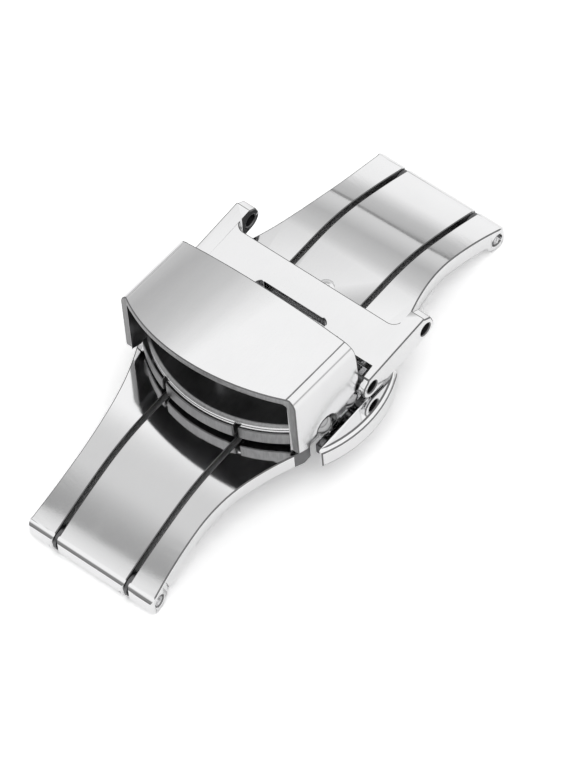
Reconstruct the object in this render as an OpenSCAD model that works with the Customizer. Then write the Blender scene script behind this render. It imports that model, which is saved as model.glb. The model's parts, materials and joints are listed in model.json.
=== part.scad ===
// Butterfly clasp for a watch strap, shown closed.
// X runs along the strap, Y across it, Z up from the plane that both folded ends stand on.
// A base frame of two curved rails carries two centre blades, hinged at its far ends.
// The front blade (-X) carries the buckle plate and the box cover, the rear blade (+X) the strap link.

/* [Strap] */
// Width of the strap that the clasp fits
strap_w = 18; // [16:0.5:22]

/* [Arms] */
// Height of the flat top of the arms above the standing plane
arm_top = 6; // [5.6:0.1:7]
// Thickness of rails and blades
arm_t = 1.8; // [1.4:0.1:2.2]
// Distance from the middle to each far hinge pin
hinge_x = 24.1; // [23:0.1:27]
// Radius of the round far ends
end_r = 1.27; // [1.2:0.01:1.4]
// Radius of the bend along the top
bend_r = 19; // [17:0.5:21]
// Slope where the bend runs into the bowed end, in degrees
bend_a = 18; // [16:0.2:19]
// Slope where the bowed end runs into the round far end, in degrees
end_a = 24.6; // [23:0.2:27]
// Radius of the corners at the ends of rails and blades
end_corner_r = 0.6; // [0.4:0.05:0.8]
// Width of the centre blades
blade_w = 7.66; // [6.5:0.05:8.5]
// Width of the slots between blades and rails
slot_w = 0.42; // [0.3:0.02:0.6]
// Half width of the arms at the waist
waist_half = 6.75; // [6.2:0.05:7.4]
// Distance from the middle to the waist
waist_x = 18.5; // [17:0.1:20]
// Radius of the flare from the waist to the centre
flare_in_r = 27; // [24:0.5:32]
// Radius of the flare from the waist to the far ends
flare_out_r = 60; // [50:1:80]
// Width of the flare beside the recess for the pushers
flare_w = 1.4; // [0.8:0.1:1.6]
// Radius of the hinge pins
hinge_pin_r = 0.62; // [0.5:0.02:0.7]

/* [Centre] */
// Half length of the centre housing
house_x = 7.3; // [7:0.1:8]
// Thickness of the bottom plate
base_plate_t = 0.6; // [0.4:0.05:1]
// Height of the step that the buckle plate lies on
step_h = 2.2; // [1.8:0.05:2.4]
// Height of the undercut below the step
undercut_h = 0.6; // [0.3:0.05:0.8]
// Depth of the undercut below the step
undercut_d = 0.7; // [0.4:0.05:1]
// Reach of the step towards the front
plate_front_x = 9.9; // [9.4:0.05:10.2]
// Radius of the step's curved front edge
plate_front_r = 13.5; // [12:0.25:16]

/* [Buckle plate] */
// Thickness of the buckle plate
plate_t = 0.6; // [0.5:0.05:0.8]
// Distance of the plate's front edge behind the step's
plate_setback = 0.4; // [0.2:0.05:0.6]
// Radius of the plate's rounded front edge
plate_edge_r = 0.4; // [0.2:0.05:0.45]
// Thickness of the plate's side flanges
flange_t = 0.58; // [0.4:0.02:0.62]
// Radius of the domed cross pins
dome_pin_r = 1; // [0.8:0.05:1.05]
// Front cross pin, distance from the middle
plate_pin_x = 3.6; // [3.4:0.05:3.8]
// Height of both cross pins above the arm top
dome_pin_z = 0.4; // [0.3:0.05:0.5]
// Rear cross pin, which the cover turns on
stud_x = 0.1; // [0:0.05:0.15]
// Radius of the strap peg
peg_r = 0.75; // [0.6:0.05:0.9]
// Height of the strap peg above the plate
peg_h = 2.1; // [1.6:0.1:2.4]
// Strap peg, distance from the middle
peg_x = 6; // [5.6:0.1:6.4]

/* [Cover] */
// Height of the cover's top side edges at the rear, above the arm top
cover_h = 8.1; // [7.6:0.1:9]
// Thickness of the cover's sheet
cover_t = 0.8; // [0.6:0.05:0.85]
// Slope of the top, rising to the front, in degrees
cover_slope = 4.6; // [3:0.2:6]
// Radius of the crown across the top
crown_r = 34; // [28:1:50]
// Outer radius of the bend from top to wall
cover_edge_r = 1.3; // [1:0.05:1.6]
// Reach of the cover's curved front edge
cover_front_x = 10.4; // [10:0.05:10.8]
// Radius of the cover's curved front edge
cover_front_r = 16.5; // [15:0.25:20]
// Reach of the cover's walls towards the front
cover_wall_x = 7.6; // [7:0.05:8]
// Reach of the cover's bowed rear edge
cover_rear_x = 0.95; // [0.8:0.01:1]
// Radius of the cover's bowed rear edge
cover_rear_r = 20; // [18:0.5:30]

/* [Strap link] */
// Play of the strap between the rear lugs
lug_play = 0.4; // [0.2:0.05:0.6]
// Thickness of the ears outside the cover's walls
ear_t = 0.74; // [0.6:0.02:1]
// Height of the link pin above the arm top
link_pin_h = 1.37; // [1.3:0.01:1.45]
// Height of the strap bar holes above the arm top
bar_h = 1.45; // [1.3:0.05:1.6]
// Height of the link's top above the arm top, at the front
link_top_h = 2.72; // [2.6:0.02:2.8]
// Pin that the link turns on, distance from the middle
link_pin_x = 1.68; // [1.65:0.01:1.8]
// Radius of the link pin
link_pin_r = 0.6; // [0.5:0.02:0.62]
// Strap bar holes, distance from the middle
bar_x = 9.27; // [8.8:0.05:10]
// Radius of the strap bar holes
bar_hole_r = 0.65; // [0.5:0.05:0.7]
// Rise of the link's top from front to rear
link_rise = 0.4; // [0.2:0.05:0.6]
// Thickness of the link's web
web_t = 1.2; // [0.9:0.05:1.3]
// Rear edge of the web between the lugs
web_rear_x = 7.1; // [6.7:0.05:7.4]

/* [Pushers] */
// Thickness of the crescents at their middle
crescent_t = 1.55; // [1.3:0.05:1.9]
// Half length of the crescents along the strap
crescent_half = 5.35; // [5:0.05:5.4]
// Middle of the crescents, distance in front of the middle
pusher_x = 0.3; // [0.2:0.05:0.4]
// Height of the crescents
crescent_h = 2.4; // [2.2:0.02:2.48]
// Travel of each pusher
push_travel = 0.5; // [0.3:0.05:0.5]
// Radius of the guide rods
rod_r = 0.4; // [0.3:0.02:0.44]
// Wire of the pusher springs
spring_wire = 0.22; // [0.15:0.01:0.24]
// Turns of the pusher springs
spring_turns = 4; // [3:1:5]

/* [Clearances] */
// Running clearance round pins and rods
run_fit = 0.04; // [0.02:0.01:0.08]
// Gap between a stamped part and its neighbour
side_gap = 0.12; // [0.08:0.01:0.14]
// Gap between pieces that swing past each other
swing_gap = 0.28; // [0.2:0.02:0.3]

/* [Hidden] */
$fn = 96;
far = 40;

// The bend, the slightly bowed end and the round far end run into each other in line.
bow_r = (arm_top - bend_r * (1 - cos(bend_a)) - end_r * (1 + cos(end_a))) / (cos(bend_a) - cos(end_a));
bow_x = hinge_x - (bow_r - end_r) * sin(end_a);
bow_z = end_r - (bow_r - end_r) * cos(end_a);
bend_x = bow_x + (bow_r - bend_r) * sin(bend_a);
bend_z = arm_top - bend_r;
half_len = hinge_x + end_r;
blade_half = blade_w / 2;
rail_in = blade_half + slot_w;
end_half = waist_half + flare_out_r - sqrt(flare_out_r ^ 2 - (half_len - waist_x) ^ 2);
corner_bite = 0.02;
plate_corner_r = 0.9;
hinge_sink = 0.4;
washer_step = 0.15;

// Across the strap, from the inside outwards
cover_play = 0.04;
flange_gap = 0.22;
step_inset = 0.5;
knuckle_w = 1.65;
dome_rise = 0.13;
ledge_gap = 0.65;
cover_in = (strap_w + cover_play) / 2;
cover_out = cover_in + cover_t;
flange_out = cover_in - side_gap;
flange_in = flange_out - flange_t;
house_half = flange_in - flange_gap;
flare_half = house_half + flare_w;
step_half = flange_out - step_inset;
web_side = cover_out + side_gap;
link_half = web_side + ear_t;
lug_gap = strap_w + lug_play;
pin_sink = 0.45;
pin_end = link_half - pin_sink;
knuckle_in = blade_half + side_gap;
knuckle_out = knuckle_in + knuckle_w;
dome_out = cover_out + dome_rise;
crescent_in = dome_out + push_travel;
crescent_r = crescent_in + crescent_t;
ledge_in = house_half + push_travel + ledge_gap;

// Upwards from the base
flange_drop = 0.3;
ledge_drop = 0.35;
crescent_drop = 0.1;
house_drop = 0.2;
yoke_t = 0.7;
plate_z = arm_top + step_h;
plate_top = plate_z + plate_t;
pin_z = arm_top + dome_pin_z;
flange_bottom = pin_z - dome_pin_r - flange_drop;
ledge_top = flange_bottom - ledge_drop;
crescent_z = arm_top - crescent_drop - crescent_h;
house_z = crescent_z - house_drop;
link_pin_z = arm_top + link_pin_h;
bar_z = arm_top + bar_h;
link_top_z = arm_top + link_top_h;

// Along the strap
recess_gap = 0.05;
flange_lead = 0.4;
step_gap = 0.5;
plate_lap = 0.1;
yoke_lag = 1.47;
yoke_w = 1.85;
foot_lead = 0.85;
hook_lag = 0.9;
web_lag = 1.07;
join_w = 0.65;
recess_x = pusher_x + crescent_half + recess_gap;
flange_front_x = plate_pin_x + dome_pin_r + flange_lead;
step_back_x = flange_front_x + step_gap;
blade_rear_x = stud_x;
plate_rear_x = stud_x + plate_lap;
hook_front_x = (plate_pin_x - stud_x) / 2;
yoke_front_x = link_pin_x + yoke_lag;
yoke_rear_x = yoke_front_x + yoke_w;
foot_front_x = yoke_front_x - foot_lead;
hook_rear_x = foot_front_x + hook_lag;
web_front_x = link_pin_x + web_lag;
join_x = web_front_x + join_w;
link_nose = 0.35;
link_nose_x = link_pin_x - link_nose;

// Round the pins
peg_shoulder = 0.25;
knuckle_wall = 0.58;
lug_wall = 0.47;
ear_play = 0.05;
peg_shank_r = peg_r - peg_shoulder;
knuckle_r = link_pin_r + knuckle_wall;
ear_hole_r = link_pin_r + ear_play;
lug_r = bar_hole_r + lug_wall;
rivet_r = 0.45;
rivet_depth = 1.2;
rivet_inset = 1.63;
yoke_rivet_head_r = 0.75;
blade_rivet_head_r = 0.8;
yoke_rivet_x = (yoke_front_x + yoke_rear_x) / 2;
yoke_rivet_y = blade_half - rivet_inset;
blade_rivet_x = 8.4;

// Latch hooks, guide rods and springs of the pushers
hook_w = 1.2;
hook_t = 0.3;
hook_gap = 0.1;
hook_depth = 1.4;
hook_leg = 0.8;
window_h = 0.6;
arm_h = 1.1;
rod_lift = 0.8;
rod_grip = 0.8;
rod_tail = 1.25;
spring_room = 1.9;
hook_in = house_half - hook_depth;
hook_top = arm_top - hook_gap;
window_z = arm_top - window_h * 3 / 4;
rod_x = (hook_rear_x - hook_front_x) / 2;
rod_z = crescent_z + rod_lift;
rod_out = ledge_in + rod_grip;
spring_r = rod_r + run_fit + spring_wire / 2;
spring_hole_r = spring_r + spring_wire / 2 + 2 * run_fit;
spring_seat = house_half - spring_room;
rod_in = spring_seat - rod_tail;

screw_r = 0.5;
screw_inset_x = 1.1;
screw_inset_y = 2.5;
screw_x = house_x - screw_inset_x;
screw_y = house_half - screw_inset_y;
screw_head_r = 0.85;
screw_head_h = 0.35;
screw_l = 1.7;

steel = [0.86, 0.87, 0.88];
dark_steel = [0.6, 0.61, 0.63];

// Round bar along Y, from y0 to y1, at a place in the XZ plane.
module bar_y(x, z, r, y0, y1) {
  translate([x, y0, z]) rotate([-90, 0, 0]) cylinder(r = r, h = y1 - y0);
}

// Block given by its two opposite corners.
module block(p, q) {
  translate(p) cube(q - p);
}

// Profile in X and Z, drawn out along Y.
module along_y(y0, y1) {
  translate([0, y1, 0]) rotate([90, 0, 0]) linear_extrude(y1 - y0) children();
}

// Both sides of the strap.
module both_sides() {
  children();
  mirror([0, 1, 0]) children();
}

// Both ends of the clasp.
module both_ends() {
  children();
  mirror([1, 0, 0]) children();
}

// Points along an arc about (x, z), from angle a0 to angle a1, without the first one if first is 1.
function arc(x, z, r, a0, a1, steps, first = 0) =
  [for (i = [first:steps]) let (a = a0 + (a1 - a0) * i / steps) [x + r * cos(a), z + r * sin(a)]];

// Side profile of one arm from x0 to its round far end.
module arm_side(x0) {
  under_r = bow_r - arm_t;
  reach = bow_r - end_r;
  meet_a = acos((reach ^ 2 + end_r ^ 2 - under_r ^ 2) / (2 * reach * end_r));
  under_a = asin(end_r * sin(meet_a) / under_r);
  polygon(concat([[x0, arm_top]],
    arc(bend_x, bend_z, bend_r, 90, 90 - bend_a, 16),
    arc(bow_x, bow_z, bow_r, 90 - bend_a, 90 - end_a, 8, first = 1),
    arc(hinge_x, end_r, end_r, 90 - end_a, -90 - end_a - meet_a, 40, first = 1),
    arc(bow_x, bow_z, under_r, 90 - end_a + under_a, 90 - bend_a, 8, first = 1),
    arc(bend_x, bend_z, bend_r - arm_t, 90 - bend_a, 90, 16, first = 1),
    [[x0, arm_top - arm_t]]));
}

// Waste outside a round corner at the far end, where the side of the piece is at y.
module end_corner(y) {
  translate([half_len - end_corner_r - corner_bite, y - end_corner_r + corner_bite, -1]) difference() {
    cube([2 * end_corner_r, 2 * end_corner_r, far]);
    cylinder(r = end_corner_r, h = far);
  }
}

// Waste beside one stretch of a rail, bounded by an arc that touches the waist.
module flare_cut(r, x0, x1) {
  intersection() {
    translate([waist_x, waist_half + r, -1]) cylinder(r = r, h = far, $fn = 180);
    block([x0, 0, -1], [x1, far, far]);
  }
}

// One rail from the middle to its far end.
module rail() {
  difference() {
    along_y(rail_in, flare_half) arm_side(-1);
    flare_cut(flare_in_r, -2, waist_x);
    flare_cut(flare_out_r, waist_x, far);
    end_corner(end_half - 4 * corner_bite);
    mirror([0, 1, 0]) end_corner(-rail_in);
    block([-2, house_half, 0], [recess_x, far, far]);
  }
}

// Curved front edge of the step, or of what lies behind it by inset.
module front_arc(inset = 0) {
  translate([plate_front_r - plate_front_x, 0]) circle(plate_front_r - inset);
}

// Step under the buckle plate between two widths, undercut along its front edge.
module step(y0, y1, x_back) {
  intersection() {
    union() {
      linear_extrude(plate_z) front_arc(undercut_d);
      translate([0, 0, arm_top + undercut_h]) linear_extrude(far) front_arc();
    }
    block([-far, y0, arm_top - 0.01], [x_back, y1, plate_z]);
  }
}

module base_frame() {
  color(steel) difference() {
    union() {
      both_ends() both_sides() rail();
      difference() {
        block([-house_x, -house_half, house_z], [house_x, house_half, arm_top]);
        block([-far, -rail_in, arm_top - arm_t - 0.05], [far, rail_in, far]);
      }
      step(rail_in, step_half, -step_back_x);
      mirror([0, 1, 0]) step(rail_in, step_half, -step_back_x);
    }
    both_ends() bar_y(hinge_x, end_r, hinge_pin_r, -far, far);
    // Open grooves that the front cross pin rests in
    block([-plate_pin_x - dome_pin_r - 0.3, -far, pin_z - dome_pin_r - 0.1],
          [-plate_pin_x + dome_pin_r + 0.1, far, far]);
    both_sides() {
      bar_y(rod_x, rod_z, rod_r + run_fit, rail_in - 1, far);
      bar_y(rod_x, rod_z, spring_hole_r, spring_seat, far);
      for (x = [-hook_front_x, hook_rear_x])
        block([x - hook_w / 2 - side_gap, hook_in - push_travel - side_gap, house_z - 1],
              [x + hook_w / 2 + side_gap, far, far]);
    }
    for (x = [-screw_x, screw_x], y = [-screw_y, screw_y])
      translate([x, y, house_z - 1]) cylinder(r = screw_r, h = 1 + screw_l - base_plate_t);
  }
}

module base_plate() {
  color(dark_steel) difference() {
    union() {
      block([-house_x, -house_half + plate_corner_r, house_z - base_plate_t],
            [house_x, house_half - plate_corner_r, house_z]);
      block([-house_x + plate_corner_r, -house_half, house_z - base_plate_t],
            [house_x - plate_corner_r, house_half, house_z]);
      for (x = [-1, 1], y = [-1, 1])
        translate([x * (house_x - plate_corner_r), y * (house_half - plate_corner_r), house_z - base_plate_t])
          cylinder(r = plate_corner_r, h = base_plate_t);
    }
    for (x = [-screw_x, screw_x], y = [-screw_y, screw_y]) translate([x, y, 0]) {
      cylinder(r = screw_r, h = far);
      cylinder(r = screw_head_r, h = house_z - base_plate_t + screw_head_h);
    }
  }
}

module base_screws() {
  color(dark_steel) for (x = [-screw_x, screw_x], y = [-screw_y, screw_y])
    translate([x, y, house_z - base_plate_t]) difference() {
      union() {
        cylinder(r = screw_r, h = screw_l);
        cylinder(r = screw_head_r, h = screw_head_h);
      }
      translate([-far / 2, -0.1, -1]) cube([far, 0.2, 1 + screw_head_h / 2]);
    }
}

// Far hinge pin, a little shorter than the rails are wide.
module hinge_pin() {
  color(dark_steel) bar_y(hinge_x, end_r, hinge_pin_r, hinge_sink - waist_half, waist_half - hinge_sink);
}

module rear_hinge_pin() hinge_pin();

module front_hinge_pin() mirror([1, 0, 0]) hinge_pin();

// Washers that keep the blade midway between the rails.
module hinge_washers() {
  color(dark_steel) both_sides() difference() {
    bar_y(hinge_x, end_r, end_r - washer_step, blade_half + side_gap / 2, rail_in - side_gap / 2);
    bar_y(hinge_x, end_r, hinge_pin_r + run_fit, 0, far);
  }
}

module rear_hinge_washers() hinge_washers();

module front_hinge_washers() mirror([1, 0, 0]) hinge_washers();

// Centre blade, hinged at the far end, drawn on the +X side.
module blade(x_start) {
  difference() {
    along_y(-blade_half, blade_half) arm_side(x_start);
    bar_y(hinge_x, end_r, hinge_pin_r + run_fit, -far, far);
    both_sides() end_corner(blade_half);
  }
}

module front_blade() {
  color(steel) difference() {
    union() {
      mirror([1, 0, 0]) blade(1);
      block([-1.01, -blade_half, arm_top - arm_t], [blade_rear_x, blade_half, arm_top]);
      step(-blade_half, blade_half, blade_rear_x);
    }
    bar_y(-plate_pin_x, pin_z, dome_pin_r, -far, far);
    translate([-peg_x, 0, plate_z - step_h]) cylinder(r = peg_shank_r, h = far);
  }
}

// Domed cross pin end, drawn from y0 outwards.
module domed_pin(x, y0) {
  dome_h = 0.45;
  dome_r = (dome_pin_r ^ 2 + dome_h ^ 2) / (2 * dome_h);
  bar_y(x, pin_z, dome_pin_r, y0, dome_out - dome_h);
  translate([x, dome_out - dome_h, pin_z]) rotate([-90, 0, 0]) rotate_extrude() intersection() {
    translate([0, dome_h - dome_r]) circle(dome_r);
    square([dome_pin_r, dome_h]);
  }
}

module plate_pin() {
  color(steel) both_sides() domed_pin(-plate_pin_x, 0);
}

module left_cover_stud() {
  color(steel) domed_pin(stud_x, flange_in);
}

module right_cover_stud() mirror([0, 1, 0]) left_cover_stud();

// Stamped plate that the strap lies on, bent down into a flange on each side.
module buckle_plate() {
  plate_reach = plate_front_r - plate_setback;
  color(steel) difference() {
    union() {
      intersection() {
        translate([plate_front_r - plate_front_x, 0, plate_z]) rotate_extrude()
          polygon(concat([[0, 0], [plate_reach, 0]],
            arc(plate_reach - plate_edge_r, plate_t - plate_edge_r, plate_edge_r, 0, 90, 6), [[0, plate_t]]));
        block([-far, -flange_out, plate_z], [plate_rear_x, flange_out, plate_top]);
      }
      both_sides() {
        block([-flange_front_x, flange_in, flange_bottom + 0.6], [stud_x, flange_out, plate_top]);
        block([-flange_front_x + 0.4, flange_in, flange_bottom], [stud_x, flange_out, plate_top]);
        bar_y(stud_x, pin_z, pin_z - flange_bottom, flange_in, flange_out);
      }
    }
    bar_y(-plate_pin_x, pin_z, dome_pin_r, -far, far);
    bar_y(stud_x, pin_z, dome_pin_r, -far, far);
    // Windows in the flanges that the pusher hooks point at
    block([-hook_front_x - hook_w / 2 - side_gap, -far, window_z],
          [-hook_front_x + hook_w / 2 + side_gap, far, window_z + window_h]);
    translate([-peg_x, 0, 0]) cylinder(r = peg_shank_r, h = far);
  }
}

// Peg that goes through a hole in the strap, riveted through the plate.
module strap_peg() {
  dome_r = 1.2 * peg_r;
  color(steel) translate([-peg_x, 0, arm_top]) {
    cylinder(r = peg_shank_r, h = step_h + plate_t);
    translate([0, 0, step_h + plate_t]) rotate_extrude() intersection() {
      translate([0, peg_h - dome_r]) circle(dome_r);
      translate([0, 0]) square([peg_r, peg_h]);
    }
    translate([0, 0, step_h + plate_t]) cylinder(r = peg_r, h = peg_h - dome_r * 0.45);
  }
}

// Section of the cover across the strap, measured inwards from its outside by inset.
// The crown and the bends are arcs that meet in line. Height 0 is the side edge at the rear.
module cover_section(inset) {
  w = cover_out;
  crown_z = -sqrt(crown_r ^ 2 - (cover_in + 0.4) ^ 2);
  bend_y = w - cover_edge_r;
  bend_z = crown_z + sqrt((crown_r - cover_edge_r) ^ 2 - bend_y ^ 2);
  deep = 12;
  translate([inset - w, -deep]) square([2 * (w - inset), deep + bend_z]);
  for (s = [-1, 1]) translate([s * bend_y, bend_z]) circle(cover_edge_r - inset);
  intersection() {
    translate([0, crown_z]) circle(crown_r - inset, $fn = 180);
    translate([0, crown_z]) polygon([[0, 0],
      [far * bend_y / (bend_z - crown_z), far], [-far * bend_y / (bend_z - crown_z), far]]);
    translate([-far, -deep]) square([2 * far, far]);
  }
}

// Outline of the cover's walls from the side, with a scallop over each cross pin.
module cover_side() {
  bow_z = arm_top + cover_h / 2;
  nose_z = arm_top + 0.5;
  tab_z = arm_top + 0.15;
  scallop_r = 1.35;
  difference() {
    intersection() {
      translate([cover_rear_x - cover_rear_r, bow_z]) circle(cover_rear_r, $fn = 180);
      polygon([[-far, far], [-far, nose_z + 0.6], [-cover_wall_x, nose_z + 0.6],
               [1.1 - cover_wall_x, nose_z], [-plate_pin_x - 1.6, nose_z + 0.85],
               [1.15 - plate_pin_x, nose_z + 0.85], [1.25 - plate_pin_x, tab_z],
               [stud_x - 1.25, tab_z], [stud_x - 1, pin_z], [far, pin_z], [far, far]]);
    }
    translate([-plate_pin_x - 0.25, pin_z + 0.45]) circle(scallop_r);
    translate([stud_x, pin_z]) circle(dome_pin_r + run_fit);
  }
}

module cover() {
  color(steel) intersection() {
    translate([cover_rear_x, 0, arm_top + cover_h]) rotate([0, cover_slope, 0]) difference() {
      rotate([90, 0, 90]) translate([0, 0, -far / 2]) linear_extrude(far) cover_section(0);
      rotate([90, 0, 90]) translate([0, 0, -far]) linear_extrude(2 * far) cover_section(cover_t);
    }
    linear_extrude(far) {
      translate([cover_front_r - cover_front_x, 0]) circle(cover_front_r, $fn = 180);
      translate([-cover_wall_x, -far]) square([far, 2 * far]);
    }
    along_y(-far, far) cover_side();
  }
}

module rear_blade() {
  color(steel) difference() {
    union() {
      blade(blade_rear_x + swing_gap);
      bar_y(link_pin_x, link_pin_z, knuckle_r, -blade_half, blade_half);
      block([link_pin_x - 0.9, -blade_half, arm_top - 0.5],
            [yoke_front_x - 0.1, blade_half, link_pin_z - 0.2]);
    }
    bar_y(link_pin_x, link_pin_z, link_pin_r + run_fit, -far, far);
    for (y = [-yoke_rivet_y, yoke_rivet_y])
      translate([yoke_rivet_x, y, arm_top - rivet_depth]) cylinder(r = rivet_r, h = far);
    translate([blade_rivet_x, 0, arm_top - rivet_depth]) cylinder(r = rivet_r, h = far);
  }
}

// Domed rivet standing on the height z, its shank reaching down by depth.
module rivet(x, y, z, head_r, depth) {
  ball_r = head_r * 1.25;
  color(steel) translate([x, y, z]) {
    translate([0, 0, -depth]) cylinder(r = rivet_r, h = depth);
    rotate_extrude() intersection() {
      translate([0, head_r / 2 - ball_r]) circle(ball_r);
      square([head_r, far]);
    }
  }
}

// Latch plate riveted on the rear blade, with a foot over each side of the frame.
module rear_yoke() {
  color(steel) difference() {
    union() {
      block([yoke_front_x, -flange_out, arm_top], [yoke_rear_x, flange_out, arm_top + yoke_t]);
      both_sides() block([foot_front_x, flange_in, flange_bottom],
                         [yoke_rear_x, flange_out, arm_top + yoke_t]);
    }
    block([hook_rear_x - hook_w / 2 - side_gap, -far, window_z],
          [hook_rear_x + hook_w / 2 + side_gap, far, arm_top - 0.01]);
    for (y = [-yoke_rivet_y, yoke_rivet_y])
      translate([yoke_rivet_x, y, 0]) cylinder(r = rivet_r, h = far);
  }
}

module yoke_rivets() {
  for (y = [-yoke_rivet_y, yoke_rivet_y])
    rivet(yoke_rivet_x, y, arm_top + yoke_t, yoke_rivet_head_r, yoke_t + rivet_depth);
}

module blade_rivet() {
  rivet(blade_rivet_x, 0, arm_top, blade_rivet_head_r, rivet_depth);
}

// Height of the link's top along its length.
function link_top(x) = link_top_z + link_rise * (x - link_pin_x) / (bar_x - link_pin_x);

// Side outline of the bars on both sides of the link.
module link_bar_side() {
  translate([link_pin_x, link_pin_z]) circle(knuckle_r);
  translate([bar_x, bar_z]) circle(lug_r);
  polygon([[link_pin_x, link_pin_z - knuckle_r], [bar_x, bar_z - lug_r], [bar_x + lug_r, bar_z],
           [bar_x + 0.85, bar_z + 0.95], [bar_x - 0.1, link_top(bar_x) - 0.12],
           [bar_x - 1, link_top(bar_x - 1)], [link_nose_x, link_top(link_pin_x)],
           [link_pin_x - knuckle_r, link_pin_z]]);
}

// Plan outline of the link: two bars and the web between them.
module link_plan() {
  fillet_r = 1;
  notch_x = 4.1;
  notch_r = 0.7;
  difference() {
    translate([0, -link_half]) square([far, 2 * link_half]);
    // Room for the cover's walls in front of the web
    translate([-far, -web_side]) square([far + web_front_x, 2 * web_side]);
    // Notch for the blade's knuckle
    translate([0, -knuckle_in]) square([notch_x - notch_r, 2 * knuckle_in]);
    translate([0, notch_r - knuckle_in]) square([notch_x, 2 * (knuckle_in - notch_r)]);
    for (s = [-1, 1])
      translate([notch_x - notch_r, s * (knuckle_in - notch_r)]) circle(notch_r);
    // Gap between the rear lugs
    translate([web_rear_x + fillet_r, -lug_gap / 2]) square([far, lug_gap]);
    translate([web_rear_x, fillet_r - lug_gap / 2]) square([far, lug_gap - 2 * fillet_r]);
    for (s = [-1, 1])
      translate([web_rear_x + fillet_r, s * (lug_gap / 2 - fillet_r)]) circle(fillet_r);
  }
}

module strap_link() {
  color(steel) difference() {
    union() {
      intersection() {
        linear_extrude(far) link_plan();
        union() {
          both_sides() along_y(lug_gap / 2 - 0.01, far) link_bar_side();
          along_y(-far, far) polygon([[web_front_x, link_top(web_front_x) - web_t],
            [far, link_top(far) - web_t], [far, link_top(far)], [web_front_x, link_top(web_front_x)]]);
        }
        along_y(-far, far) link_reach();
      }
      both_sides() along_y(knuckle_in, knuckle_out) {
        translate([link_pin_x, link_pin_z]) circle(knuckle_r);
        polygon([[link_pin_x, link_pin_z - knuckle_r / 2], [join_x, link_top(join_x) - web_t],
                 [join_x, link_top(join_x)], [link_nose_x, link_top(link_pin_x)],
                 [link_pin_x - knuckle_r, link_pin_z]]);
      }
    }
    bar_y(link_pin_x, link_pin_z, link_pin_r, -knuckle_out - 1, knuckle_out + 1);
    both_sides() bar_y(link_pin_x, link_pin_z, ear_hole_r, web_side - 0.5, far);
    bar_y(bar_x, bar_z, bar_hole_r, -far, far);
  }
}

// Limits of the link seen from the side, so that the web ends where the bars do.
module link_reach() {
  link_bar_side();
  polygon([[web_front_x, 0], [bar_x, 0], [bar_x, far], [web_front_x, far]]);
}

module link_pin() {
  color(dark_steel) {
    bar_y(link_pin_x, link_pin_z, link_pin_r, swing_gap - flange_in, flange_in - swing_gap);
    bar_y(link_pin_x, link_pin_z, link_pin_r * 0.6, -pin_end, pin_end);
    both_sides() bar_y(link_pin_x, link_pin_z, link_pin_r, web_side + 0.02, pin_end);
  }
}

module left_pusher() {
  rim = 0.35;
  color(steel) difference() {
    union() {
      intersection() {
        translate([-pusher_x, 0, crescent_z]) rotate_extrude($fn = 180)
          polygon([[0, 0], [crescent_r - rim / 2, 0], [crescent_r, rim / 2],
                   [crescent_r, crescent_h - rim], [crescent_r - rim, crescent_h], [0, crescent_h]]);
        block([-pusher_x - crescent_half, crescent_in, 0], [crescent_half - pusher_x, far, far]);
      }
      block([0.9 - pusher_x - crescent_half, ledge_in, crescent_z],
            [crescent_half - pusher_x - 0.9, crescent_in + 0.01, ledge_top]);
      for (x = [-hook_front_x, hook_rear_x]) {
        block([x - hook_w / 2, hook_in, crescent_z], [x + hook_w / 2, ledge_in + 0.01, crescent_z + arm_h]);
        block([x - hook_w / 2, hook_in, crescent_z], [x + hook_w / 2, hook_in + hook_leg, hook_top]);
        block([x - hook_w / 2, hook_in, hook_top - hook_t],
              [x + hook_w / 2, flange_in - side_gap, hook_top]);
      }
    }
    bar_y(rod_x, rod_z, rod_r, 0, rod_out);
  }
}

module right_pusher() mirror([0, 1, 0]) left_pusher();

module left_guide_rod() {
  color(dark_steel) bar_y(rod_x, rod_z, rod_r, rod_in, rod_out);
}

module right_guide_rod() mirror([0, 1, 0]) left_guide_rod();

// Coil spring round the guide rod, between its seat in the frame and the pusher.
module left_push_spring() {
  steps = 14;
  sides = 6;
  count = steps * spring_turns;
  wire_r = spring_wire / 2;
  y0 = spring_seat + wire_r;
  rise = (ledge_in - wire_r - y0) / count;
  points = [for (i = [0:count], j = [0:sides - 1])
    let (turn = 360 * i / steps, side = 360 * j / sides, r = spring_r + wire_r * cos(side))
    [rod_x + r * cos(turn), y0 + rise * i + wire_r * sin(side), rod_z + r * sin(turn)]];
  walls = [for (i = [0:count - 1], j = [0:sides - 1])
    let (k = (j + 1) % sides)
    [i * sides + j, i * sides + k, (i + 1) * sides + k, (i + 1) * sides + j]];
  first = [for (j = [sides - 1:-1:0]) j];
  last = [for (j = [0:sides - 1]) count * sides + j];
  color(dark_steel) polyhedron(points, concat(walls, [first, last]));
}

module right_push_spring() mirror([0, 1, 0]) left_push_spring();

base_frame();
base_plate();
base_screws();
front_hinge_pin();
rear_hinge_pin();
front_hinge_washers();
rear_hinge_washers();
front_blade();
buckle_plate();
strap_peg();
plate_pin();
left_cover_stud();
right_cover_stud();
cover();
rear_blade();
rear_yoke();
yoke_rivets();
blade_rivet();
strap_link();
link_pin();
left_pusher();
right_pusher();
left_guide_rod();
right_guide_rod();
left_push_spring();
right_push_spring();
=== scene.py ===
"""Looks of a butterfly clasp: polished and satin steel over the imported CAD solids, in a white studio."""

import json
import math

import bmesh
import bpy
from mathutils import Matrix, Vector

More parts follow.
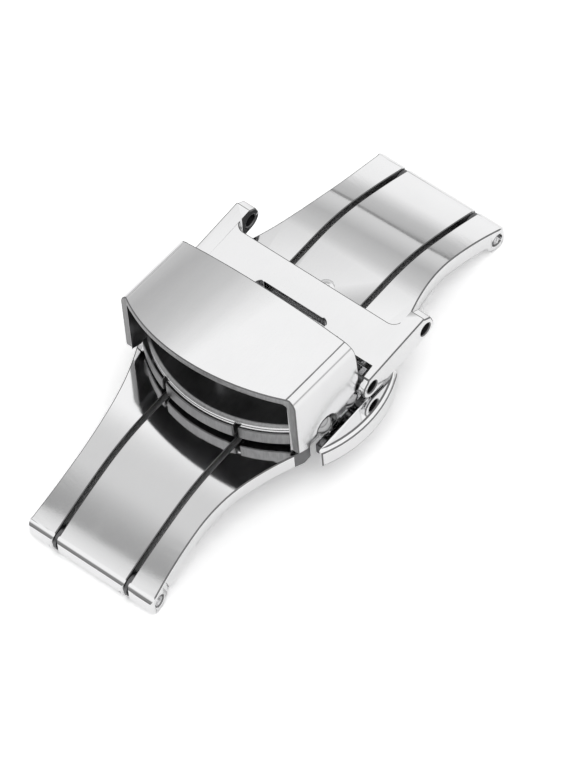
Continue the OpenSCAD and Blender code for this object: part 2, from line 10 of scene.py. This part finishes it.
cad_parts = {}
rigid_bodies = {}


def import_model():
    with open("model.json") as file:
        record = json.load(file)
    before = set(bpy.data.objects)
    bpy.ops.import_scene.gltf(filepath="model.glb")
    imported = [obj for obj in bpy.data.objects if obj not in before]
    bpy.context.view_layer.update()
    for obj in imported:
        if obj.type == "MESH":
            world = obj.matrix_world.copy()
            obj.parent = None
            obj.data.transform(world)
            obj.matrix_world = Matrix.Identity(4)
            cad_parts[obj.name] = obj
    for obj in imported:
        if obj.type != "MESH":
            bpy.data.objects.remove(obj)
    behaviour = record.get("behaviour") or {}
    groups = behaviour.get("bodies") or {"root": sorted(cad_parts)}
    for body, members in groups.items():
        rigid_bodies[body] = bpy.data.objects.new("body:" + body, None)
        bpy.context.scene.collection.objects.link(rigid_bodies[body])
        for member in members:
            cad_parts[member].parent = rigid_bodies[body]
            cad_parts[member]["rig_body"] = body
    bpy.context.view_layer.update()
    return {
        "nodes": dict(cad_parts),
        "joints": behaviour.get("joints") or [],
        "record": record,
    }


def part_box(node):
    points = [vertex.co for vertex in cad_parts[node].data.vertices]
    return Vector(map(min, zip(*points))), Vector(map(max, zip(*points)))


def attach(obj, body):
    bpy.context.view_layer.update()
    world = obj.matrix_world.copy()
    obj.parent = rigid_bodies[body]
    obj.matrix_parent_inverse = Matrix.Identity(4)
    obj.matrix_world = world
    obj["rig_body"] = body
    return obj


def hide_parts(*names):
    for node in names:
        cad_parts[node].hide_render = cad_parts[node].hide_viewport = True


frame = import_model()

MM = 0.001

# Camera, placed as the photograph's. Its azimuth runs from -Y towards +X.
CAMERA_AZIMUTH = -46.663
CAMERA_ELEVATION = 55.619
CAMERA_ROLL = -5.516
CAMERA_DISTANCE = 578.174 * MM
CAMERA_LENS = 305.76
CAMERA_SENSOR = 36
CAMERA_NEAR = 0.01
CAMERA_FAR = 20
CAMERA_SHIFT_RIGHT = 1.873 * MM
CAMERA_SHIFT_UP = -3.128 * MM
AIM = Vector((0, 0, 6 * MM))
QUARTER = 90

# Soft lamp that gives the object its shadow: angles as the camera's, metres and watts
KEY_LAMP = {"azimuth": -20, "elevation": 70, "distance": 0.8, "size": 0.5, "power": 1.2}

# Light and floor. The camera and the metal see FLOOR_SEEN and BACKGROUND, and the object is lit by the
# albedo and WORLD_LIGHT.
FLOOR_HALF = 2.0
FLOOR_ALBEDO = 0.8
FLOOR_SEEN = 1.5
FLOOR_GRAIN = 900.0
FLOOR_GRAIN_DEPTH = 0.01
WORLD_LIGHT = 0.72
BACKGROUND = 1.0

# The floor as reflections see it: bright near the object, and darker from FLOOR_NEAR to FLOOR_FAR metres
FLOOR_MIRRORED = 1.12
FLOOR_NEAR = 0.07
FLOOR_FAR = 0.3
FLOOR_FAR_LIGHT = 0.5

# Soft grey cards round the set, which only reflections see. Each has the azimuth of its middle from +X
# towards +Y, its elevation, the angles where it is whole and where it has faded out, and its darkness.
CARDS = {
    "near_card": (134, 56, 2, 12, 0.46),
    "back_card": (112, 64, 8, 32, 0.3),
    "bend_card": (-20, 55, 2.5, 6.5, 0.8),
}
# These cards end at a straight rim across X. Past it, at least CARDS_LIGHT is left, and all of it soon after.
CARDS_END = -0.345
CARDS_RIM = 0.003
CARDS_FADE = 0.08
CARDS_LIGHT = 0.72
# Low dark card beyond the near end, which outlines that end
LOW_CARD = (157, 10, 10, 24, 0.75)
# The surroundings darken this much down to the horizon, from HORIZON_HIGH, the sine of an elevation
HORIZON_DARK = 0.5
HORIZON_HIGH = 0.2

# A graduated grey card that stands close behind the far end, which only reflections see: its radius, the
# azimuths that it spans, over how many degrees its ends fade, and its darkness at each height in mm
SCREEN_RADIUS = 75 * MM
SCREEN_SPAN = (-12, 96)
SCREEN_FADE = 24
SCREEN_COLUMNS = 48
SCREEN_TONES = [
    (14, 0.0), (21, 0.05), (26, 0.42), (30, 0.5), (31, 0.75), (33, 0.75),
    (33.5, 0.28), (40, 0.32), (55, 0.5), (80, 0.37), (112, 0.0),
]
SCREEN_HEIGHTS = (SCREEN_TONES[0][0] * MM, SCREEN_TONES[-1][0] * MM)


def direction(azimuth, elevation):
    """Unit vector at an azimuth from +X towards +Y and an elevation, in degrees."""
    a, e = math.radians(azimuth), math.radians(elevation)
    return Vector((math.cos(a) * math.cos(e), math.sin(a) * math.cos(e), math.sin(e)))


def new_object(name, data):
    """Object in the scene that holds this mesh, lamp or camera."""
    thing = bpy.data.objects.new(name, data)
    bpy.context.scene.collection.objects.link(thing)
    return thing


def add_camera():
    """Camera at the photograph's angle, distance and roll."""
    back = direction(CAMERA_AZIMUTH - QUARTER, CAMERA_ELEVATION)
    level = direction(CAMERA_AZIMUTH, 0)
    upright = back.cross(level)
    roll = math.radians(CAMERA_ROLL)
    right = math.cos(roll) * level + math.sin(roll) * upright
    up = math.cos(roll) * upright - math.sin(roll) * level
    data = bpy.data.cameras.new("photo_camera")
    data.lens = CAMERA_LENS
    data.sensor_width = CAMERA_SENSOR
    data.sensor_fit = "AUTO"
    data.clip_start = CAMERA_NEAR
    data.clip_end = CAMERA_FAR
    camera = new_object("photo_camera", data)
    place = AIM + back * CAMERA_DISTANCE + right * CAMERA_SHIFT_RIGHT + up * CAMERA_SHIFT_UP
    turn = Matrix((right, up, back)).transposed().to_4x4()
    camera.matrix_world = Matrix.Translation(place) @ turn
    bpy.context.scene.camera = camera


def add_lamp(name, azimuth, elevation, distance, size, power):
    """Square soft lamp that faces the object and doesn't show in the metal."""
    back = direction(azimuth - QUARTER, elevation)
    data = bpy.data.lights.new(name, "AREA")
    data.shape = "SQUARE"
    data.size = size
    data.energy = power
    lamp = new_object(name, data)
    lamp.location = AIM + back * distance
    lamp.rotation_mode = "QUATERNION"
    lamp.rotation_quaternion = (-back).to_track_quat("-Z", "Y")
    lamp.visible_glossy = False


class Nodes:
    """Small helper that adds and wires nodes of one tree."""

    def __init__(self, tree):
        self.tree = tree
        self.tree.nodes.clear()

    def add(self, kind, **settings):
        node = self.tree.nodes.new(kind)
        for name, value in settings.items():
            setattr(node, name, value)
        return node

    def link(self, source, target):
        self.tree.links.new(source, target)

    def feed(self, value, socket):
        """Links an output to a socket, or sets the socket to a number."""
        if isinstance(value, bpy.types.NodeSocket):
            self.link(value, socket)
        else:
            socket.default_value = value

    def math(self, operation, *values):
        """Result of a sum on outputs or numbers."""
        node = self.add("ShaderNodeMath", operation=operation)
        for value, socket in zip(values, node.inputs):
            self.feed(value, socket)
        return node.outputs[0]

    def stretched(self, vector, scale):
        node = self.add("ShaderNodeMapping")
        node.inputs["Scale"].default_value = scale
        self.link(vector, node.inputs["Vector"])
        return node.outputs[0]

    def noise(self, vector, scale, detail=2.0, rough=0.5):
        node = self.add("ShaderNodeTexNoise")
        node.inputs["Scale"].default_value = scale
        node.inputs["Detail"].default_value = detail
        node.inputs["Roughness"].default_value = rough
        self.link(vector, node.inputs["Vector"])
        return node.outputs["Fac"]

    def remap(self, value, from_low, from_high, to_low, to_high, shape="LINEAR"):
        """Maps one range of a value to another, and holds it there."""
        node = self.add("ShaderNodeMapRange", clamp=True, interpolation_type=shape)
        self.link(value, node.inputs["Value"])
        numbers = {"From Min": from_low, "From Max": from_high, "To Min": to_low, "To Max": to_high}
        for name, number in numbers.items():
            node.inputs[name].default_value = number
        return node.outputs[0]

    def spread(self, value, low, high):
        """Maps 0.3 to 0.7, where most of a noise lies, to low to high."""
        return self.remap(value, 0.3, 0.7, low, high)

    def curve(self, value, stops):
        """Grey that follows a list of (place from 0 to 1, tone) pairs."""
        node = self.add("ShaderNodeValToRGB")
        self.link(value, node.inputs["Fac"])
        elements = node.color_ramp.elements
        while len(elements) < len(stops):
            elements.new(0.5)
        for element, (place, tone) in zip(elements, stops):
            element.position = place
            element.color = (tone, tone, tone, 1)
        return node.outputs["Color"]

    def along(self, vector, way):
        """Share of a vector along a fixed direction."""
        node = self.add("ShaderNodeVectorMath", operation="DOT_PRODUCT")
        self.link(vector, node.inputs[0])
        node.inputs[1].default_value = way
        return node.outputs["Value"]

    def seen(self):
        """1 for the rays that show a thing: from the camera, or off or through a shiny surface."""
        path = self.add("ShaderNodeLightPath")
        shiny = self.math("MAXIMUM", path.outputs["Is Camera Ray"], path.outputs["Is Glossy Ray"])
        return self.math("MAXIMUM", shiny, path.outputs["Is Transmission Ray"])

    def mirrored(self, light):
        """The light where a reflection looks at it, and 1 for all other rays."""
        glossy = self.add("ShaderNodeLightPath").outputs["Is Glossy Ray"]
        lost = self.math("MULTIPLY", self.math("SUBTRACT", 1.0, light), glossy)
        return self.math("SUBTRACT", 1.0, lost)

    def card_light(self, way, card):
        """Light that a card leaves in the directions round it."""
        azimuth, elevation, whole, faded, dark = card
        share = self.along(way, direction(azimuth, elevation))
        edge, middle = math.cos(math.radians(faded)), math.cos(math.radians(whole))
        return self.remap(share, edge, middle, 1.0, 1.0 - dark, "SMOOTHSTEP")

    def surface(self, shader, output="ShaderNodeOutputMaterial"):
        self.link(shader.outputs[0], self.add(output).inputs["Surface"])


def new_material(name):
    """Material and the helper for its empty tree."""
    material = bpy.data.materials.new(name)
    material.use_nodes = True
    return material, Nodes(material.node_tree)


def add_world():
    """White surroundings with soft grey cards and a darker rim low down, seen by reflections alone."""
    world = bpy.data.worlds.new("studio")
    world.use_nodes = True
    bpy.context.scene.world = world
    nodes = Nodes(world.node_tree)
    way = nodes.add("ShaderNodeTexCoord").outputs["Generated"]
    light = 1.0
    for card in CARDS.values():
        light = nodes.math("MULTIPLY", light, nodes.card_light(way, card))
    along = nodes.along(way, (1, 0, 0))
    past_rim = nodes.remap(along, CARDS_END - CARDS_RIM, CARDS_END + CARDS_RIM, CARDS_LIGHT, 0.0)
    further = nodes.remap(along, CARDS_END - CARDS_FADE, CARDS_END, 1.0 - CARDS_LIGHT, 0.0)
    light = nodes.math("MAXIMUM", light, nodes.math("ADD", past_rim, further))
    light = nodes.math("MULTIPLY", light, nodes.card_light(way, LOW_CARD))
    height = nodes.along(way, (0, 0, 1))
    rim = nodes.remap(height, 0.0, HORIZON_HIGH, 1.0 - HORIZON_DARK, 1.0, "SMOOTHSTEP")
    light = nodes.mirrored(nodes.math("MULTIPLY", light, rim))
    strength = nodes.remap(nodes.seen(), 0.0, 1.0, WORLD_LIGHT, BACKGROUND)
    shown = nodes.add("ShaderNodeBackground")
    shown.inputs["Color"].default_value = (1, 1, 1, 1)
    nodes.link(nodes.math("MULTIPLY", light, strength), shown.inputs["Strength"])
    nodes.surface(shown, "ShaderNodeOutputWorld")


def floor_material():
    """Pale matt floor that the camera and the metal see as white, with the object's shadow kept."""
    material, nodes = new_material("studio_floor")
    place = nodes.add("ShaderNodeTexCoord").outputs["Object"]
    noise = nodes.noise(place, FLOOR_GRAIN)
    grain = nodes.spread(noise, 1.0 - FLOOR_GRAIN_DEPTH, 1.0 + FLOOR_GRAIN_DEPTH)
    albedo = nodes.remap(nodes.seen(), 0.0, 1.0, FLOOR_ALBEDO, FLOOR_SEEN)
    length = nodes.add("ShaderNodeVectorMath", operation="LENGTH")
    nodes.link(place, length.inputs[0])
    near_light = FLOOR_MIRRORED / FLOOR_SEEN
    far_light = near_light * FLOOR_FAR_LIGHT
    distance = length.outputs["Value"]
    light = nodes.remap(distance, FLOOR_NEAR, FLOOR_FAR, near_light, far_light, "SMOOTHSTEP")
    matt = nodes.add("ShaderNodeBsdfDiffuse")
    shown = nodes.math("MULTIPLY", nodes.math("MULTIPLY", albedo, grain), nodes.mirrored(light))
    nodes.link(shown, matt.inputs["Color"])
    nodes.surface(matt)
    return material


def add_floor():
    """Square floor that the object stands on."""
    half = FLOOR_HALF
    corners = [(-half, -half, 0), (half, -half, 0), (half, half, 0), (-half, half, 0)]
    mesh = bpy.data.meshes.new("floor")
    mesh.from_pydata(corners, [], [(0, 1, 2, 3)])
    mesh.materials.append(floor_material())
    new_object("floor", mesh)


def screen_material():
    """Clear at its rims and grey inside."""
    material, nodes = new_material("studio_screen")
    place = nodes.add("ShaderNodeTexCoord").outputs["Object"]
    apart = nodes.add("ShaderNodeSeparateXYZ")
    nodes.link(place, apart.inputs[0])
    low, high = SCREEN_HEIGHTS
    height = nodes.remap(apart.outputs["Z"], low, high, 0.0, 1.0)
    tone = nodes.curve(height, [((mm * MM - low) / (high - low), dark) for mm, dark in SCREEN_TONES])
    turn = nodes.math("DEGREES", nodes.math("ARCTAN2", apart.outputs["Y"], apart.outputs["X"]))
    start, end = SCREEN_SPAN
    first = nodes.remap(turn, start, start + SCREEN_FADE, 0.0, 1.0, "SMOOTHSTEP")
    last = nodes.remap(turn, end - SCREEN_FADE, end, 1.0, 0.0, "SMOOTHSTEP")
    share = nodes.math("MULTIPLY", tone, nodes.math("MULTIPLY", first, last))
    black = nodes.add("ShaderNodeEmission")
    black.inputs["Strength"].default_value = 0.0
    mix = nodes.add("ShaderNodeMixShader")
    nodes.link(share, mix.inputs["Fac"])
    nodes.link(nodes.add("ShaderNodeBsdfTransparent").outputs[0], mix.inputs[1])
    nodes.link(black.outputs[0], mix.inputs[2])
    nodes.surface(mix)
    return material


def add_screen():
    """Part of an upright cylinder about the object."""
    start, end = SCREEN_SPAN
    verts, faces = [], []
    for column in range(SCREEN_COLUMNS + 1):
        foot = SCREEN_RADIUS * direction(start + (end - start) * column / SCREEN_COLUMNS, 0)
        verts += [(foot.x, foot.y, height) for height in SCREEN_HEIGHTS]
        if column:
            last = 2 * column
            faces.append((last - 2, last - 1, last + 1, last))
    mesh = bpy.data.meshes.new("grey_screen")
    mesh.from_pydata(verts, [], faces)
    mesh.materials.append(screen_material())
    screen = new_object("grey_screen", mesh)
    screen.visible_camera = False
    screen.visible_diffuse = False
    screen.visible_shadow = False
    screen.visible_transmission = False


# Marks in the steel: scale of the smudges per mm, detail of smudges and lines, how much roughness the lines
# add and the depth of their bump
SMUDGE_SCALE = 0.35
SMUDGE_DETAIL = 4.0
LINE_DETAIL = 3.0
MARK_ROUGH = 0.6
LINE_ROUGH = 0.03
LINE_DEPTH = 0.002 * MM
# Sides that are cut are rougher: wholly where the upward share of the normal is below the first number, and
# not at all above the second
CUT_SHARES = (0.2, 0.5)


def steel(name, tint, rough, lines_scale, bump, tone_low, cut_rough=0.0):
    """Procedural steel: smudges in the roughness and tone, fine lines of the finish, rougher cut sides."""
    material, nodes = new_material(name)
    texture = nodes.add("ShaderNodeTexCoord")
    place = nodes.stretched(texture.outputs["Object"], (1 / MM,) * 3)
    smudge = nodes.noise(place, SMUDGE_SCALE, SMUDGE_DETAIL, MARK_ROUGH)
    lines = nodes.noise(nodes.stretched(place, lines_scale), 1.0, LINE_DETAIL, MARK_ROUGH)
    roughness = nodes.math("ADD", nodes.spread(smudge, *rough), nodes.spread(lines, 0.0, LINE_ROUGH))
    if cut_rough:
        upright = nodes.math("ABSOLUTE", nodes.along(texture.outputs["Normal"], (0, 0, 1)))
        roughness = nodes.math("ADD", roughness, nodes.remap(upright, *CUT_SHARES, cut_rough, 0.0))
    tone = nodes.math("MULTIPLY", nodes.spread(smudge, tone_low, 1.0), nodes.spread(lines, tone_low, 1.0))
    colour = nodes.add("ShaderNodeMix", data_type="RGBA", blend_type="MULTIPLY")
    colour.inputs["Factor"].default_value = 1.0
    colour.inputs["A"].default_value = (*tint, 1)
    nodes.link(tone, colour.inputs["B"])
    relief = nodes.add("ShaderNodeBump")
    relief.inputs["Strength"].default_value = bump
    relief.inputs["Distance"].default_value = LINE_DEPTH
    nodes.link(lines, relief.inputs["Height"])
    shader = nodes.add("ShaderNodeBsdfPrincipled")
    shader.inputs["Metallic"].default_value = 1.0
    nodes.link(colour.outputs["Result"], shader.inputs["Base Color"])
    nodes.link(roughness, shader.inputs["Roughness"])
    nodes.link(relief.outputs[0], shader.inputs["Normal"])
    nodes.surface(shader)
    return material


# Steels: name, tint, range of the roughness, lines per mm along each axis, strength of the bump, darkest
# share of the tint, and the roughness that cut sides add
MIRROR = steel("mirror_steel", (0.9, 0.9, 0.905), (0.04, 0.07), (0.3, 12, 12), 0.4, 0.98, 0.1)
SATIN = steel("satin_pin_steel", (0.62, 0.62, 0.63), (0.22, 0.3), (8, 8, 1), 1.0, 0.9)
SPRING = steel("spring_wire_steel", (0.6, 0.6, 0.61), (0.28, 0.36), (6, 6, 6), 1.0, 0.9)
# EDGE is painted shade: a dark grey on the small rounds of the sharp edges, which draws dark outlines along
# them
EDGE = steel("painted_dark_edge_steel", (0.22, 0.22, 0.222), (0.3, 0.45), (6, 6, 6), 1.0, 0.8)
BRUSHED = steel("brushed_cut_steel", (0.42, 0.42, 0.423), (0.32, 0.45), (5, 5, 0.8), 1.0, 0.72)
PALE = steel("brushed_pale_steel", (0.72, 0.72, 0.723), (0.25, 0.38), (5, 5, 0.8), 1.0, 0.8)
DOME = steel("domed_pin_steel", (0.5, 0.5, 0.505), (0.1, 0.16), (3, 3, 3), 0.6, 0.9, 0.1)
# SHADED is painted shade: near black steel inside and under the cover, round the pushers, in the link's notch
# and on the pins there
SHADED = steel("painted_shade_inner_steel", (0.2, 0.2, 0.205), (0.3, 0.4), (1, 4, 4), 0.15, 0.85)
# DARK is painted shade: black steel in the recess under the step and inside the link's holes
DARK = steel("painted_shade_recess_steel", (0.05, 0.05, 0.052), (0.5, 0.6), (3, 3, 3), 0.1, 0.8)
FINISHES = {"polished_steel": MIRROR, "satin_steel": SATIN, "spring_steel": SPRING}


def joint_place(name):
    """Place of a joint's axis seen from the side, as (x, z)."""
    joint = next(joint for joint in frame["joints"] if joint["name"] == name)
    return joint["pos_m"][0], joint["pos_m"][2]


def mount_place(name):
    """Place of a mount seen from the side, as (x, z)."""
    mount = next(mount for mount in frame["record"]["mounts"] if mount["name"] == name)
    return mount["pos_m"][0], mount["pos_m"][2]


# Shares of a normal along an axis, by which a face looks that way
FULLY = 0.95
MOSTLY = 0.9
PARTLY = 0.5
HARDLY = 0.3
# The cover's front edge looks forwards by more than the first share and sideways by less than the second
FRONT_FORWARDS = 0.6
FRONT_SIDEWAYS = 0.75

# Places on the CAD solids, which tell the faces of one surface from the rest. SKIN is the slack round them.
SKIN = 0.1 * MM
ARM_TOP = 6 * MM
ROLL_START = 24.6 * MM
BLADE_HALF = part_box("front_blade")[1].y
SLOT_OUT = 4.27 * MM
HOUSE_IN = 7 * MM
HOUSE_END = 7.4 * MM
STEP_FRONT = -5 * MM
STEP_FOOT = ARM_TOP + 0.3 * MM
STEP_TOP = ARM_TOP + 0.61 * MM
PLATE_FACE = 8.5 * MM
COVER_HEART = 8 * MM
COVER_BROW = 12.2 * MM
CROWN_IN = 10.2 * MM
LINK_PIN = joint_place("strap_link_tilt")
LINK_BAR = mount_place("strap_bar_holes")
LINK_HOLE_R = 0.66 * MM


def in_slot(face, centre):
    """Side walls of the slots between blades and rails."""
    return abs(face.normal.y) > MOSTLY and BLADE_HALF - SKIN < abs(centre.y) < SLOT_OUT


def in_house(face, centre):
    """Side walls round the pushers, in the shade of the cover."""
    return abs(face.normal.y) > MOSTLY and abs(centre.y) > HOUSE_IN and abs(centre.x) < HOUSE_END


def on_step(face, centre):
    """Front face of the step that the buckle plate lies on."""
    upright = face.normal.x < -PARTLY and abs(face.normal.z) < HARDLY
    return upright and centre.z > STEP_FOOT and centre.x < STEP_FRONT


def under_step(face, centre):
    """Recess under the step."""
    low = ARM_TOP - SKIN < centre.z < STEP_TOP
    return low and centre.x < STEP_FRONT and (face.normal.z < -PARTLY or face.normal.x < -PARTLY)


def rail_finish_and_shade(face, centre):
    """The rails are cut at the slots and the step, and have painted shade in the recess under the step and
    round the pushers.
    """
    if under_step(face, centre):
        return DARK
    if in_slot(face, centre):
        return BRUSHED
    if in_house(face, centre):
        return SHADED
    return BRUSHED if on_step(face, centre) else None


def blade_finish_and_shade(face, centre):
    """The blades are cut at the slots and the step, and have painted shade in the recess under the step."""
    if under_step(face, centre):
        return DARK
    return BRUSHED if in_slot(face, centre) or on_step(face, centre) else None


def knuckle_finish_and_shade(face, centre):
    """The rear blade has painted shade where it stands up into the link's notch."""
    return SHADED if centre.z > ARM_TOP + SKIN else blade_finish_and_shade(face, centre)


def cover_finish_and_shade(face, centre):
    """The cover's sheet is cut on its front edge, paler at the sides, and has painted shade inside."""
    forwards = face.normal.x < -FRONT_FORWARDS and abs(face.normal.y) < FRONT_SIDEWAYS
    if forwards and abs(face.normal.z) < PARTLY:
        return BRUSHED if centre.z > COVER_BROW else PALE
    inwards = Vector((0, -centre.y, COVER_HEART - centre.z))
    across = Vector((0, face.normal.y, face.normal.z))
    inside = across.length > PARTLY and across.dot(inwards) > 0
    return SHADED if inside else None


def tray_finish_and_shade(face, centre):
    """The plate has painted shade where the cover shades it and on its flanges, and its slopes are cut."""
    on_top = face.normal.z > FULLY and centre.z > PLATE_FACE
    if on_top or abs(face.normal.y) > MOSTLY:
        return SHADED
    return BRUSHED if HARDLY < face.normal.z <= FULLY else None


def yoke_shade(face, centre):
    """The yoke's sides have painted shade."""
    return SHADED if abs(face.normal.y) > MOSTLY else None


def pusher_shade(face, centre):
    """The pusher has painted shade on its hooks and inner side."""
    return None if on_the_crown(centre) or face.normal.z > MOSTLY else SHADED


def link_hole_shade(face, centre):
    """The link has painted shade inside its pin holes and spring bar holes."""
    distances = [math.hypot(centre.x - x, centre.z - z) for x, z in (LINK_PIN, LINK_BAR)]
    return DARK if min(distances) < LINK_HOLE_R else None


def no_finish(face, centre):
    """All faces have the piece's own finish."""
    return None


def off_the_ends(place):
    """Everywhere but the rolled ends of the arms."""
    return abs(place.x) < ROLL_START


def on_the_crown(place):
    """The outer part of a pusher."""
    return abs(place.y) > CROWN_IN


def anywhere(place):
    """The whole piece."""
    return True


# Least turn of a sharp edge, most turn between two edges that run on, and most turn between faces that are
# joined to one
SHARP = math.radians(38)
STRAIGHT = math.radians(35)
FLAT = math.radians(0.2)
# Width of a sliver, and the distance at which points are one
THIN = 0.03 * MM
WELD = 0.0005 * MM
# An edge shorter than this many widths of a round crowds the round beside it
CROWDING = 1.1
ROUND_STEPS = 2
# Place of the painted dark edge steel among the materials of a piece
EDGE_PLACE = 1


def is_broken(edge):
    """Tells a sharp outer edge that takes a small round from one beside a sliver."""
    if len(edge.link_faces) != 2 or not edge.is_convex or edge.calc_face_angle() < SHARP:
        return False
    widths = [face.calc_area() / max(side.calc_length() for side in face.edges) for face in edge.link_faces]
    return min(widths) > THIN


def runs_on(edges, vert):
    """Tells two edges that run on nearly straight through a point from a corner."""
    if len(edges) != 2:
        return False
    first, second = [edge.other_vert(vert).co - vert.co for edge in edges]
    return first.angle(-second) < STRAIGHT


def broken_edges(work, width, where):
    """Sharp outer edges of a mesh that take a round of this width without crowding each other."""
    broken = set()
    for edge in work.edges:
        first, last = edge.verts
        if is_broken(edge) and where((first.co + last.co) / 2):
            broken.add(edge)
    for vert in work.verts:
        meeting = [edge for edge in vert.link_edges if edge in broken]
        others = [edge for edge in vert.link_edges if edge not in broken]
        crowded = others if runs_on(meeting, vert) else vert.link_edges
        if any(edge.calc_length() < CROWDING * width for edge in crowded):
            broken.difference_update(meeting)
    return broken


def clean_mesh(node, name, width, where, slot, face_finish_and_shade):
    """Copy of a CAD node's mesh in whole faces, smooth, each face with its finish or its painted shade."""
    work = bmesh.new()
    work.from_mesh(frame["nodes"][node].data)
    bmesh.ops.remove_doubles(work, verts=work.verts, dist=WELD)
    bmesh.ops.dissolve_limit(work, angle_limit=FLAT, verts=work.verts, edges=work.edges)
    steels_and_shades = [FINISHES[slot], EDGE]
    for face in work.faces:
        face.smooth = True
        other = face_finish_and_shade(face, face.calc_center_median())
        if other and other not in steels_and_shades:
            steels_and_shades.append(other)
        face.material_index = steels_and_shades.index(other) if other else 0
    weight = work.edges.layers.float.new("bevel_weight_edge")
    broken = broken_edges(work, width, where)
    for edge in work.edges:
        edge[weight] = 1.0 if edge in broken else 0.0
        edge.smooth = edge in broken or len(edge.link_faces) != 2 or edge.calc_face_angle() < SHARP
    mesh = bpy.data.meshes.new(name)
    work.to_mesh(mesh)
    work.free()
    for material in steels_and_shades:
        mesh.materials.append(material)
    return mesh


def dress(node, name, width, where, slot, face_finish_and_shade):
    """Piece with the form of a CAD node, its sharp edges broken by a small round that carries a painted shade
    outline.
    """
    piece = new_object(name, clean_mesh(node, name, width, where, slot, face_finish_and_shade))
    bevel = piece.modifiers.new("broken_edges", "BEVEL")
    bevel.width = width
    bevel.segments = ROUND_STEPS
    bevel.limit_method = "WEIGHT"
    bevel.use_clamp_overlap = False
    # the rounds take EDGE, painted shade that outlines the edges
    bevel.material = EDGE_PLACE
    normals = piece.modifiers.new("even_normals", "WEIGHTED_NORMAL")
    normals.mode = "FACE_AREA_WITH_ANGLE"
    normals.keep_sharp = True
    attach(piece, frame["nodes"][node]["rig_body"])
    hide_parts(node)


# Node of the CAD model, piece that stands for it, width of its broken edges in mm and where they are,
# material slot, finish and painted shade of single faces
DRESSED = [
    ("base_frame", "outer_rails", 0.11, off_the_ends, "polished_steel", rail_finish_and_shade),
    ("front_blade", "front_blade_strip", 0.11, off_the_ends, "polished_steel", blade_finish_and_shade),
    ("rear_blade", "rear_blade_strip", 0.11, off_the_ends, "polished_steel", knuckle_finish_and_shade),
    ("buckle_plate", "buckle_tray", 0.07, anywhere, "polished_steel", tray_finish_and_shade),
    ("cover", "cover_shell", 0.1, anywhere, "polished_steel", cover_finish_and_shade),
    ("strap_link", "link_frame", 0.11, anywhere, "polished_steel", link_hole_shade),
    ("left_pusher", "left_crescent", 0.1, on_the_crown, "polished_steel", pusher_shade),
    ("right_pusher", "right_crescent", 0.1, on_the_crown, "polished_steel", pusher_shade),
    ("rear_yoke", "latch_yoke", 0.06, anywhere, "polished_steel", yoke_shade),
    ("base_plate", "bottom_plate", 0.08, anywhere, "satin_steel", no_finish),
    ("base_screws", "bottom_screws", 0.03, anywhere, "satin_steel", no_finish),
]
# CAD nodes that stay as they are, with another finish than their slot's; those given SHADED take painted
# shade
PAINTED = {
    "front_hinge_pin": SATIN,
    "rear_hinge_pin": SHADED,
    "front_hinge_washers": SHADED,
    "rear_hinge_washers": SHADED,
    "strap_peg": PALE,
    "plate_pin": DOME,
    "left_cover_stud": DOME,
    "right_cover_stud": DOME,
    "link_pin": SHADED,
    "left_guide_rod": SHADED,
    "right_guide_rod": SHADED,
}


def paint_node(node, thing):
    """Gives a CAD node that stays as it is its procedural finish, or the painted shade that PAINTED lists for
    it.
    """
    slot = thing.data.materials[0].name.split(".")[0]
    finish = PAINTED.get(node) or FINISHES[slot]
    for index in range(len(thing.data.materials)):
        thing.data.materials[index] = finish


def main():
    """Studio, then the pieces."""
    bpy.context.scene.view_settings.view_transform = "Standard"
    add_camera()
    add_world()
    add_floor()
    add_screen()
    add_lamp("key_lamp", **KEY_LAMP)
    for node, name, width, where, slot, face_finish_and_shade in DRESSED:
        dress(node, name, width * MM, where, slot, face_finish_and_shade)
    dressed = {row[0] for row in DRESSED}
    for node, thing in frame["nodes"].items():
        if node not in dressed:
            paint_node(node, thing)


main()
